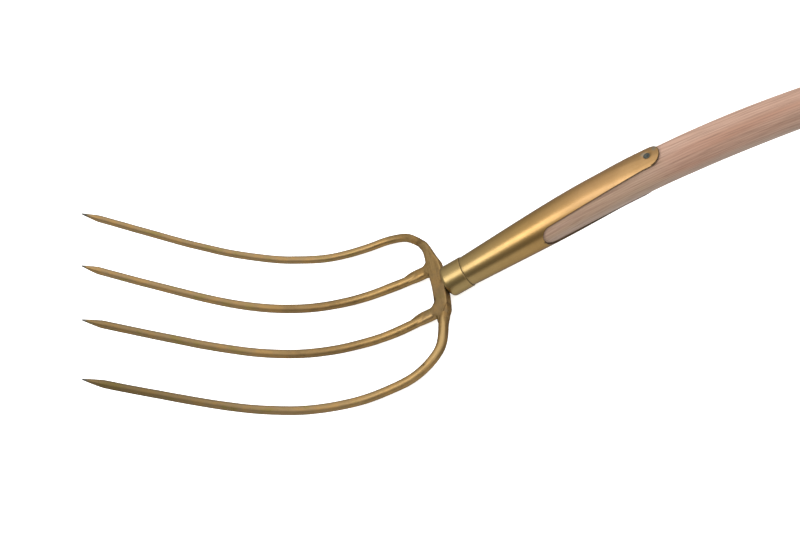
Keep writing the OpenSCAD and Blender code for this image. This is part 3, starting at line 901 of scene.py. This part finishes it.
# Tines: round bars on one dished surface that starts at the crown
tines = {
    "crownBack": 31.5,  # from the socket rim down to the crown's centre line
    "reach": 368.0,
    "tipSkew": 1.6,  # further reach of each tine than of the one to its left
    "innerSpacing": 56.8,
    "innerSplay": 1.0,
    "outerSplay": 2.3,
    "barDiameter": 8.6,
    "tipDiameter": 6.6,
    "pointDiameter": 1.2,
    "pointSquare": 0.9,  # the points are ground a little square
    "pointRings": 14,
    "swellLength": 40.0,
    "swellCurve": 1.5,
    "girthEase": 30.0,  # a root grows to the full girth over this much
    "tongueTaper": 0.15,  # the hidden end of a root is this much thinner
    "offsetEase": 10.0,
    "tipBendLength": 65.0,
    "swayStart": 60.0,
    "swayStep": 40.0,
    "dishAngle": 63.0,
    "dishLength": 303.0,
    "dishLead": 33.5,
    "dishDip": 3.0,
    "dishStep": 0.5,
    "bowLength": 109.0,
    "bowRadius": 264.0,
    "shoulder": 55.5,
    "hammering": 0.05,  # depth of the hammer marks as a share of the radius
    "markStretch": (0.8, 8.0, 8.0),
    "markSizes": (11.0, 4.5),
    "age": 0.75,
    "ageSpan": (60.0, 300.0),
    "tarnishFrom": 100.0,
    "tarnishLength": 280.0,
    "innerStain": 0.28,  # the inner tines are darker at the bend
    "innerStainSpan": (70.0, 105.0, 145.0, 200.0),
    "scale": 0.6,  # forge scale left round the right joint
    "scaleAt": 3.0,
    "scaleSpan": (1.5, 7.0),
    "pit": 0.95,  # a pit in the left bend
    "pitAt": 99.0,
    "pitAside": 0.1,
    "pitSize": (1.6, 0.9),
    "pitSpan": (0.6, 1.2),
    "tongueStain": 0.45,  # the left joint ends in a bright tongue, a painted highlight, with painted shade on its dark side
    "tongueStainFade": (75.0, 95.0),
    "tongueShine": 0.42,
    "tongueShineFade": (78.0, 105.0),
    "sides": 40,
    "ringStep": 2.0,
}

# Crown: one forging of bar, arms, two webbed stubs, the shoulder under the cap and the tang
crown = {
    "width": 15.0,
    "thickness": 10.5,
    "web": 4.0,
    "webCurve": 2.5,
    "webReach": 15.0,
    "leftArm": 9.0,
    "rightArm": 33.5,
    "leftWidth": 13.4,
    "rightWidth": 9.4,
    "armCurve": 2.5,
    "armNarrow": 0.3,  # the arms narrow and thin inside the tines
    "armThin": 0.28,
    "armThinFrom": 0.6,  # share of the arm's length
    "stubReach": 26.0,
    "stubWidth": 13.4,
    "stubTail": 7.0,
    "stubFlat": 3.0,  # a stub is flatter where it leaves the bar
    "stubFlatSpan": (6.0, 13.0),
    "stubNarrow": 0.33,
    "stubNarrowSpan": (16.0, 42.0),
    "stubThin": 0.30,
    "stubThinSpan": (14.0, 40.0),
    "heel": 0.42,  # the inner welds bulge to the right by this share of their half width
    "heelSpan": (12.0, 30.0, 30.0, 42.0),
    "sink": 9.0,  # how far the welds run on inside the tines
    "squareness": 8.0,
    "armSquareness": 2.4,
    "stubSquareness": 2.3,
    "bossLip": 1.2,
    "tang": 12.0,
    "tangTip": 6.0,
    "tangLength": 75.0,
    "seatStain": 0.4,  # dirt and painted shade under the cap
    "seatWidth": 15.0,
    "stains": [  # place, size and depth
        ((-38.3, -17.3, 4.6), (1.7, 4.0, 3.0), 1.0),
        ((-41.2, -40.3, 5.2), (1.6, 1.6, 2.0), 0.6),
    ],
    "nearArm": (10.0, 14.0, 44.0, 52.0),
    "farArm": (6.0, 26.0, 48.0, 58.0),
    "creaseX": (-33.2, -30.3, -26.0, -24.2, -22.8),  # a fold on the left arm, with painted shade on one side and a painted highlight on the other
    "creaseY": (-38.5, -34.0, -27.3, -20.6, -13.9),
    "creaseDark": 0.42,  # painted shade on the socket's side
    "creaseLight": 0.25,
    "lightSpan": (34.0, 41.0),
    # painted shade in the cleft along the fold
    "cleft": 0.24,
    "cleftSpan": (20.0, 30.0),
    "farStreak": 0.2,
    "streakWidth": 2.2,
    "age": 0.35,
    "voxel": 0.5,
    "smoothPasses": 4,
    "hammering": 0.22,
    "markSizes": (9.0, 3.0),
    "markSeed": 6.0,
    "sides": 48,
}

armRoot = tines["innerSpacing"] / 2 + crown["web"]
leftJoint = armRoot + crown["leftArm"]
rightJoint = armRoot + crown["rightArm"]
joinedAt = leftJoint - 1.0  # where the left weld shows

# Each tine's own make, from the right outer one to the left outer one. Girths are shares of the
# plain bar, a bend is a place, an amount and a width, and sway is the sideways shift at each step.
tineSet = [
    {
        "name": "tineOuterRight", "node": "tine_outer_right", "outer": True, "left": False,
        "joint": rightJoint, "tongue": 8.0, "offset": 1.0, "root": 9.0, "rootGirth": 0.95, "girth": 1.06,
        "tipGirth": 0.09, "skew": 1.5, "tipBend": 0.0, "point": 18.5, "ogive": 1.0, "bare": 7.5,
        "dull": 0.0, "seed": 1.0, "bends": [(94, 1.0, 11)],
        "sway": (0, 0, -1.1, -1.9, -0.2, 1.0, 0.5, -0.5, -0.4, -0.2),
    },
    {
        "name": "tineInnerRight", "node": "tine_inner_right", "outer": False, "left": False,
        "joint": crown["stubReach"], "tongue": 13.0, "offset": 0.0, "root": 10.4, "rootGirth": 0.99,
        "girth": 1.17, "tipGirth": 0.14, "skew": 0.5, "tipBend": -1.7, "point": 17.0, "ogive": 1.1,
        "bare": 4.5, "dull": 0.0, "seed": 2.0, "bends": [],
        "sway": (0.3, -0.1, -0.7, -0.8, -0.8, -0.8, -0.4, 0, 0),
    },
    {
        "name": "tineInnerLeft", "node": "tine_inner_left", "outer": False, "left": True,
        "joint": crown["stubReach"], "tongue": 13.0, "offset": 0.0, "root": 10.4, "rootGirth": 0.98,
        "girth": 1.14, "tipGirth": 0.18, "skew": -0.5, "tipBend": 0.0, "point": 20.5, "ogive": 1.1,
        "bare": 5.0, "dull": 0.46, "seed": 3.0, "bends": [],
        "sway": (1.1, 0.3, 0.2, -0.4, -0.6, 0.1, 0.6, 0.6, 0.2),
    },
    {
        "name": "tineOuterLeft", "node": "tine_outer_left", "outer": True, "left": True,
        "joint": leftJoint, "tongue": 8.0, "offset": 2.0, "root": 10.4, "rootGirth": 1.04, "girth": 1.17,
        "tipGirth": 0.16, "skew": -1.5, "tipBend": 2.0, "point": 21.5, "ogive": 1.15, "bare": 5.5,
        "dull": 0.62, "seed": 4.0, "bends": [(118, -2.0, 26), (76, 1.7, 13)],
        "sway": (0, 0, 0.1, 1.2, 1.5, 0.7, 0.4, 0.4, 0),
    },
]

def dishSlope(s):
    t = np.clip((np.asarray(s, float) + tines["dishLead"]) / tines["dishLength"], 0, 1)
    return np.radians(tines["dishAngle"] * t * t * (3 - 2 * t) - tines["dishDip"])

# The dished surface in side view, in short steps
dishStep = tines["dishStep"]
dishAt = np.arange(0, tines["reach"] + 10, dishStep)
dishTurns = dishSlope(dishAt[:-1] + dishStep / 2)
dishX = -tines["crownBack"] - np.concatenate([[0], np.cumsum(np.cos(dishTurns))]) * dishStep
dishZ = np.concatenate([[0], np.cumsum(np.sin(dishTurns))]) * dishStep

innerSplay, outerSplay = math.radians(tines["innerSplay"]), math.radians(tines["outerSplay"])
bowHalf = tines["bowLength"] / 2
bowTurn = bowHalf / tines["bowRadius"]
shoulderTurn = math.pi / 2 - bowTurn - outerSplay
shoulderEnd = bowHalf + tines["shoulder"] * shoulderTurn

def innerPath(p):
    # forward and sideways distance on the surface, and the heading from forward
    p = np.asarray(p, float)
    side = tines["innerSpacing"] / 2 + p * math.sin(innerSplay)
    return p * math.cos(innerSplay), side, np.full(p.shape, innerSplay)

def outerPath(p):
    p = np.asarray(p, float)
    q = np.abs(p)
    b = np.minimum(q, bowHalf) / tines["bowRadius"]
    a = np.clip((q - bowHalf) / tines["shoulder"], 0, shoulderTurn)
    past = np.maximum(0, q - shoulderEnd)
    ahead = tines["bowRadius"] * (1 - np.cos(b)) + past * math.cos(outerSplay)
    ahead = ahead + tines["shoulder"] * (math.cos(bowTurn) - np.cos(bowTurn + a))
    side = tines["bowRadius"] * np.sin(b) + past * math.sin(outerSplay)
    side = side + tines["shoulder"] * (np.sin(bowTurn + a) - math.sin(bowTurn))
    heading = math.pi / 2 - b - a
    return ahead, np.where(p < 0, -side, side), np.where(p < 0, math.pi - heading, heading)

def pathLength(outer, reach):
    if outer:
        return shoulderEnd + (reach - float(outerPath(shoulderEnd)[0])) / math.cos(outerSplay)
    return reach / math.cos(innerSplay)

def onPath(path, p, u, v):
    # a point beside a path: u across and v towards the hollow side
    ahead, side, heading = path(p)
    slope = dishSlope(ahead)
    zero = np.zeros_like(slope)
    forward = np.stack([-np.cos(slope), zero, np.sin(slope)], axis=-1)
    out = np.stack([np.sin(slope), zero, np.cos(slope)], axis=-1)
    across = np.array([0.0, 1.0, 0.0])
    turnCos, turnSin = np.cos(heading)[:, None], np.sin(heading)[:, None]
    aside = turnCos * across - turnSin * forward
    x, z = np.interp(ahead, dishAt, dishX), np.interp(ahead, dishAt, dishZ)
    centre = np.stack([x, side, z], axis=-1)
    return centre + np.asarray(u)[:, None] * aside + np.asarray(v)[:, None] * out

def squared(c, power):
    return np.sign(c) * np.abs(c) ** (2 / power)

def tineGirth(own, stations, start, neck, tip):
    # the radius at each station, and the lift that keeps the belly of a thick bar where it was
    joint = own["joint"]
    share = np.clip((stations - joint) / (neck - joint), 0, 1)
    fresh = np.clip(1 - (stations - joint) / tines["swellLength"], 0, 1) ** tines["swellCurve"]
    bar = tines["barDiameter"] + (tines["tipDiameter"] - tines["barDiameter"]) * share
    eased = smoothStep(stations, joint, joint + tines["girthEase"])
    grown = own["rootGirth"] + (own["girth"] - own["rootGirth"]) * eased
    girth = 1 + (grown - 1) * (1 - share ** 2) + own["tipGirth"] * share ** 2
    barrel = girth * (bar + (own["root"] - tines["barDiameter"]) * fresh) / 2
    blunt = tines["pointDiameter"] / 2
    ground = np.minimum(1, own["ogive"] * tip - (own["ogive"] - 1) * tip * tip)
    taper = tines["tongueTaper"]
    radii = (blunt + (barrel - blunt) * ground) * (1 - taper + taper * smoothStep(stations, start, joint))
    return radii, np.maximum(grown - 1, 0) * (1 - share ** 2) * barrel

def tineShift(own, stations, start, full):
    # how far each station lies to the side of the path
    shift = own["offset"] * (1 - smoothStep(stations, start, own["joint"] + tines["offsetEase"]))
    for bend in own["bends"]:
        place, amount, width = bend
        shift = shift + amount * hump(stations, place, width)
    bent = np.clip((stations - full + tines["tipBendLength"]) / tines["tipBendLength"], 0, 1)
    shift = shift - own["tipBend"] * bent ** 2
    places = tines["swayStart"] + tines["swayStep"] * np.arange(len(own["sway"]))
    near = np.clip(np.abs(stations[:, None] - places) / tines["swayStep"], 0, 1)
    return shift + np.sum(own["sway"] * (1 + np.cos(math.pi * near)) / 2, axis=1)

def tineStain(own, p, u, v):
    if not own["outer"]:
        return tines["innerStain"] * between(p, *tines["innerStainSpan"])
    if not own["left"]:
        scale = 1 - smoothStep(np.abs(p - rightJoint - tines["scaleAt"]), *tines["scaleSpan"])
        return tines["scale"] * scale * (0.6 + 0.4 * np.sin(p * 1.7 + u * 2))
    pitLong, pitWide = tines["pitSize"]
    aside = (u - tines["pitAside"]) * (tines["barDiameter"] / 2)
    pit = 1 - smoothStep(np.hypot((p - tines["pitAt"]) / pitLong, aside / pitWide), *tines["pitSpan"])
    # painted shade on the dark side of the left tongue, running on from the shade of the crown's fold
    low = 0.25 + 0.4 * np.clip((p - joinedAt) / 10, 0, 1)
    edge = smoothStep(u, low, low + 0.25) * (1 - smoothStep(p, *tines["tongueStainFade"]))
    return np.maximum(tines["tongueStain"] * edge, tines["pit"] * pit * (v > 0))

def tineRub(own, p, u, v):
    # a painted highlight: the bright tongue widens down the left bend
    if not (own["outer"] and own["left"]):
        return 0 * p
    past = p - joinedAt
    middle = 0.05 + 0.38 * np.clip(past / 10, 0, 1)
    wide = 0.1 * np.clip(past / 3, 0, 1) + 0.32 * np.clip((past - 4) / 20, 0, 1)
    streak = 1 - smoothStep(np.abs(u - middle) - wide, -0.05, 0.12)
    shown = between(p, joinedAt, joinedAt + 5, *tines["tongueShineFade"])
    return tines["tongueShine"] * streak * (v > 0) * shown

def addTine(own):
    sides, start = tines["sides"], own["joint"] - own["tongue"]
    full = pathLength(own["outer"], tines["reach"] + tines["tipSkew"] * own["skew"])
    neck = full - own["point"]
    point = np.linspace(0, 1, tines["pointRings"]) ** 0.9
    stations = np.concatenate([np.arange(start, neck, tines["ringStep"]), neck + own["point"] * point])
    tip = np.clip((full - stations) / own["point"], 0, 1)
    radii, lift = tineGirth(own, stations, start, neck, tip)
    shift = tineShift(own, stations, start, full)
    square = 2 + tines["pointSquare"] * np.sqrt(1 - tip)
    p, radius, lift, shift, square = spread(sides, stations, radii, lift, shift, square)
    turn = fullTurns(sides, len(stations)) + math.pi / 4
    u, v = squared(np.cos(turn), square), squared(np.sin(turn), square)
    around = np.stack([p, u, v], axis=-1) * tines["markStretch"]
    radius = radius * (1 - tines["hammering"] * hammered(around, tines["markSizes"], own["seed"]))
    path = outerPath if own["outer"] else innerPath
    points = onPath(path, p, u * radius + shift, v * radius + lift)
    if own["left"]:
        points[:, 1] *= -1
    mesh = newMesh(own["name"], points, tubeFaces(len(stations), sides))
    setLayers(
        mesh,
        lay=np.stack([p, u * 6, v * 6 + own["seed"] * 40], axis=-1),
        bareTip=smoothStep(p, full - own["bare"], full - own["bare"] / 2),
        stain=tineStain(own, p, u, v),
        age=tines["age"] * smoothStep(p, *tines["ageSpan"]),
        # tarnish and painted shade toward the tips of the left tines
        tarnish=own["dull"] * np.clip((p - tines["tarnishFrom"]) / tines["tarnishLength"], 0, 1) ** 2,
        rub=tineRub(own, p, u, v),
    )
    addPiece(own["name"], mesh, forgedBronze, own["node"], 60)

def ringPoints(stations, halfW, halfT, power):
    # along, across and up, round a bar with rounded corners
    p, halfW, halfT, power = spread(crown["sides"], stations, halfW, halfT, power)
    turn = fullTurns(crown["sides"], len(stations))
    return p, squared(np.cos(turn), power) * halfW, squared(np.sin(turn), power) * halfT

def barShell():
    sink = crown["sink"]
    stations = np.linspace(-leftJoint - sink, rightJoint + sink, 110)
    reach, onLeft = np.abs(stations), stations < 0
    joint = np.where(onLeft, leftJoint, rightJoint)
    thinFrom = joint - crown["armThinFrom"] * np.where(onLeft, crown["leftArm"], crown["rightArm"])
    endWidth = np.where(onLeft, crown["leftWidth"], crown["rightWidth"])
    share = np.clip((joint - reach) / (joint - armRoot), 0, 1) ** crown["armCurve"]
    halfW = (endWidth + (crown["width"] - endWidth) * share) / 2
    halfW = halfW * (1 - crown["armNarrow"] * smoothStep(reach, joint, joint + sink))
    halfT = crown["thickness"] / 2 * (1 - crown["armThin"] * smoothStep(reach, thinFrom, joint + sink))
    power = crown["armSquareness"] + (crown["squareness"] - crown["armSquareness"]) * share
    return onPath(outerPath, *ringPoints(stations, halfW, halfT, power)), len(stations)

def stubShell(mirror):
    stations = np.linspace(0, crown["stubReach"] + crown["sink"] + crown["stubTail"], 34)
    flat = 1 - smoothStep(stations, *crown["stubFlatSpan"])
    webLength = crown["webReach"] - crown["width"] / 2
    web = crown["web"] * np.clip((crown["webReach"] - stations) / webLength, 0, 1) ** crown["webCurve"]
    narrow = 1 - crown["stubNarrow"] * smoothStep(stations, *crown["stubNarrowSpan"])
    thin = 1 - crown["stubThin"] * smoothStep(stations, *crown["stubThinSpan"])
    halfW, halfT = crown["stubWidth"] / 2 * narrow + web, crown["thickness"] / 2 * thin
    p, u, v = ringPoints(stations, halfW, halfT, crown["stubSquareness"] + crown["stubFlat"] * flat)
    heel = 1 + crown["heel"] * between(p, *crown["heelSpan"])
    points = onPath(innerPath, p, np.where((u < 0) == mirror, u * heel, u), v)
    if mirror:
        points[:, 1] *= -1
    return points, len(stations)

def hammerCrown(mesh):
    drawn, seat = meshPoints(mesh), -cap["length"]
    x, y = drawn[:, 0], drawn[:, 1]
    normals = np.zeros(len(mesh.vertices) * 3, np.float32)
    mesh.vertices.foreach_get("normal", normals)
    depth = crown["hammering"] * hammered(drawn, crown["markSizes"], crown["markSeed"])
    depth = depth * (1 - smoothStep(x, seat - 1, seat))
    moved = atRest(drawn) - normals.reshape(-1, 3) * depth[:, None] / 1000
    mesh.vertices.foreach_set("co", moved.astype(np.float32).ravel())
    mesh.update()
    # dirt and painted shade where the crown sits under the cap, kept with the real stains
    stain = crown["seatStain"] * smoothStep(x, seat - 1.2, seat - 0.2) * (np.abs(y) < crown["seatWidth"])
    for centre, size, dark in crown["stains"]:
        stain = np.maximum(stain, dark * np.exp(-np.sum(((drawn - centre) / size) ** 2, axis=1)))
    nearArm, farArm = between(-y, *crown["nearArm"]), between(y, *crown["farArm"])
    # painted shade past the fold and in its cleft on the left arm, and a painted highlight just before the
    # fold
    past = x - np.interp(y, crown["creaseY"], crown["creaseX"])
    cleft = crown["cleft"] * hump(past, 1.0, 0.9) * smoothStep(-y, *crown["cleftSpan"])
    crease = nearArm * (crown["creaseDark"] * smoothStep(past, 0, 1) + cleft)
    fold = nearArm * smoothStep(-y, *crown["lightSpan"]) * hump(past, -0.8, 0.8)
    middle = -tines["crownBack"] - y ** 2 / (2 * tines["bowRadius"])
    streak = farArm * hump(x, middle, crown["streakWidth"]) * (0.6 + 0.4 * waver(drawn, 5.0, 2.0))
    setLayers(
        mesh,
        lay=drawn[:, [1, 0, 2]],  # drawn out along the bar
        stain=np.maximum(stain, crease),
        bareTip=0 * x,
        tarnish=0 * x,
        age=crown["age"] * (1 - farArm),  # the right arm is warmer than the rest
        # painted highlight beside the left arm's fold, and a lighter streak along the right arm's middle
        rub=crown["creaseLight"] * fold + crown["farStreak"] * streak,
    )

def addCrown():
    seat, sides, tangR = -cap["length"], crown["sides"], crown["tang"] / 2
    bossR = tangR + crown["bossLip"]
    boss = [(-tines["crownBack"], crown["thickness"] / 2 - 1), (seat - 1, bossR - 0.4), (seat, bossR)]
    tang = [(seat - 2, tangR), (0, tangR), (crown["tangLength"], crown["tangTip"] / 2)]
    shells = [barShell(), stubShell(False), stubShell(True)]
    shells += [(turned(profile, sides), len(profile)) for profile in (boss, tang)]
    points, faces = [], []
    for shell, rows in shells:
        faces += tubeFaces(rows, sides, sum(len(x) for x in points))
        points.append(shell)
    raw = bpy.data.objects.new("rawCrown", newMesh("rawCrown", np.concatenate(points), faces))
    scene.collection.objects.link(raw)
    fuse = raw.modifiers.new("fuse", "REMESH")
    fuse.mode = "VOXEL"
    fuse.voxel_size = crown["voxel"] / 1000
    soften = raw.modifiers.new("soften", "SMOOTH")
    soften.factor = 0.5
    soften.iterations = crown["smoothPasses"]
    ready = raw.evaluated_get(bpy.context.evaluated_depsgraph_get())
    mesh = bpy.data.meshes.new_from_object(ready)
    mesh.name = "forgedCrown"
    bpy.data.objects.remove(raw)
    hammerCrown(mesh)
    addPiece("forgedCrown", mesh, forgedBronze, "crown", 60)

for own in tineSet:
    addTine(own)
addCrown()
